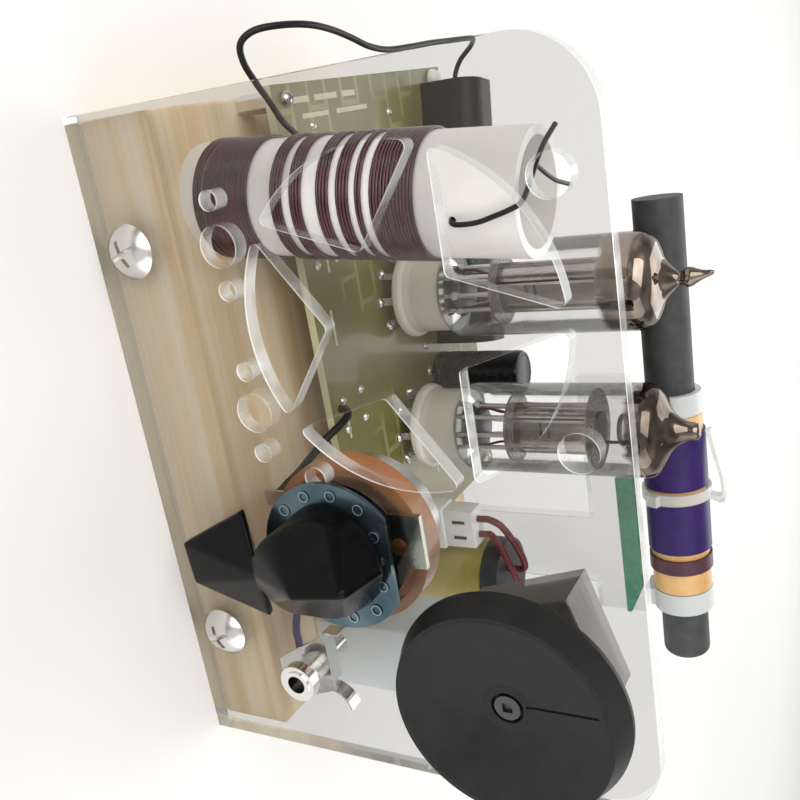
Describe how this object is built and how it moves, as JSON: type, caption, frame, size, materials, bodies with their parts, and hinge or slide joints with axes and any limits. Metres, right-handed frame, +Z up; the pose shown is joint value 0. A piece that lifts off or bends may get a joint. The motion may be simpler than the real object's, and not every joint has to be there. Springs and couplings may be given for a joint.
{
  "type": "two-tube radio receiver",
  "caption": "Open valve radio on a pine board: clear panel with a star grille, wound tuning coil, glass tubes, ferrite aerial, tuning dial and pointer knob.",
  "frame": {"origin": "middle of the base board's underside", "axes": "+X to the right as the panel is faced, -Y towards the one facing the panel, +Z up"},
  "size_m": [0.1426, 0.1098, 0.0914],
  "materials": {
    "pine": "satin",
    "clear_acrylic": "gloss",
    "bright_steel": "satin",
    "white_pipe": "matte",
    "enamelled_wire": "gloss",
    "black_wire": "satin",
    "board_laminate": "satin",
    "nickel_plate": "gloss",
    "socket_ceramic": "gloss",
    "tinned_metal": "satin",
    "tube_glass": "gloss",
    "tube_metal": "matte",
    "mica": "satin",
    "dial_plastic": "satin",
    "case_plastic": "satin",
    "brass_parts": "satin",
    "phenolic": "satin",
    "scale_paint": "satin",
    "knob_plastic": "gloss",
    "ferrite": "matte",
    "paper_sleeve": "satin",
    "purple_wire": "satin",
    "clamp_plastic": "satin",
    "green_laminate": "satin",
    "box_plastic": "satin",
    "cell_sleeve": "gloss",
    "capacitor_sleeve": "gloss",
    "yellow_tape": "satin",
    "red_wire": "satin",
    "potting": "satin",
    "white_nylon": "satin",
    "resistor_body": "satin"
  },
  "bodies": {
    "chassis": {"base_board": "pine", "front_panel": "clear_acrylic", "panel_screws": "bright_steel", "coil_former": "white_pipe", "tuning_winding": "enamelled_wire", "reaction_winding": "enamelled_wire", "coil_lead": "black_wire", "circuit_board": "board_laminate", "board_standoffs": "nickel_plate", "board_screws": "bright_steel", "tube_sockets": "socket_ceramic", "socket_contacts": "tinned_metal", "capacitor_case": "case_plastic", "capacitor_stator": "tinned_metal", "control_bush": "nickel_plate", "control_disc": "phenolic", "control_lugs": "tinned_metal", "control_cover": "tinned_metal", "control_nut": "nickel_plate", "scale_plate": "scale_paint", "jack_frame": "nickel_plate", "jack_springs": "nickel_plate", "jack_nut": "nickel_plate", "ferrite_rod": "ferrite", "rod_sleeve": "paper_sleeve", "rod_windings": "purple_wire", "rod_link_winding": "enamelled_wire", "rod_clamps": "clamp_plastic", "rod_tie": "clamp_plastic", "rod_bracket": "clear_acrylic", "bracket_screws": "bright_steel", "antenna_board": "green_laminate", "battery_box": "box_plastic", "battery_lid": "box_plastic", "battery_cell": "cell_sleeve", "battery_lead": "black_wire", "filter_capacitor": "capacitor_sleeve", "step_up_core": "ferrite", "step_up_coil": "yellow_tape", "step_up_leads": "red_wire", "output_transformer": "potting", "plug_connector": "white_nylon", "resistors": "resistor_body", "hook_up_wires": "black_wire"},
    "dial": {"tuning_dial": "dial_plastic", "dial_screw": "bright_steel", "capacitor_rotor": "brass_parts"},
    "knob": {"pointer_knob": "knob_plastic", "knob_screw": "bright_steel", "control_shaft": "nickel_plate"},
    "left_tube": {"left_glass": "tube_glass", "left_plates": "tube_metal", "left_micas": "mica", "left_getter": "tube_metal", "left_pins": "tinned_metal"},
    "right_tube": {"right_glass": "tube_glass", "right_plates": "tube_metal", "right_micas": "mica", "right_getter": "tube_metal", "right_pins": "tinned_metal"}
  },
  "joints": [
    {"name": "dial_turn", "type": "hinge", "parent": "chassis", "child": "dial", "pos_m": [0.0351, -0.048, 0.0702], "axis": [0, -1, 0], "range_deg": [-90, 90]},
    {"name": "knob_turn", "type": "hinge", "parent": "chassis", "child": "knob", "pos_m": [0.0174, -0.048, 0.0373], "axis": [0, -1, 0], "range_deg": [-167, 103]},
    {"name": "left_tube_lift", "type": "slide", "parent": "chassis", "child": "left_tube", "axis": [0, 0, 1], "range_m": [0, 0.012]},
    {"name": "right_tube_lift", "type": "slide", "parent": "chassis", "child": "right_tube", "axis": [0, 0, 1], "range_m": [0, 0.012]}
  ]
}
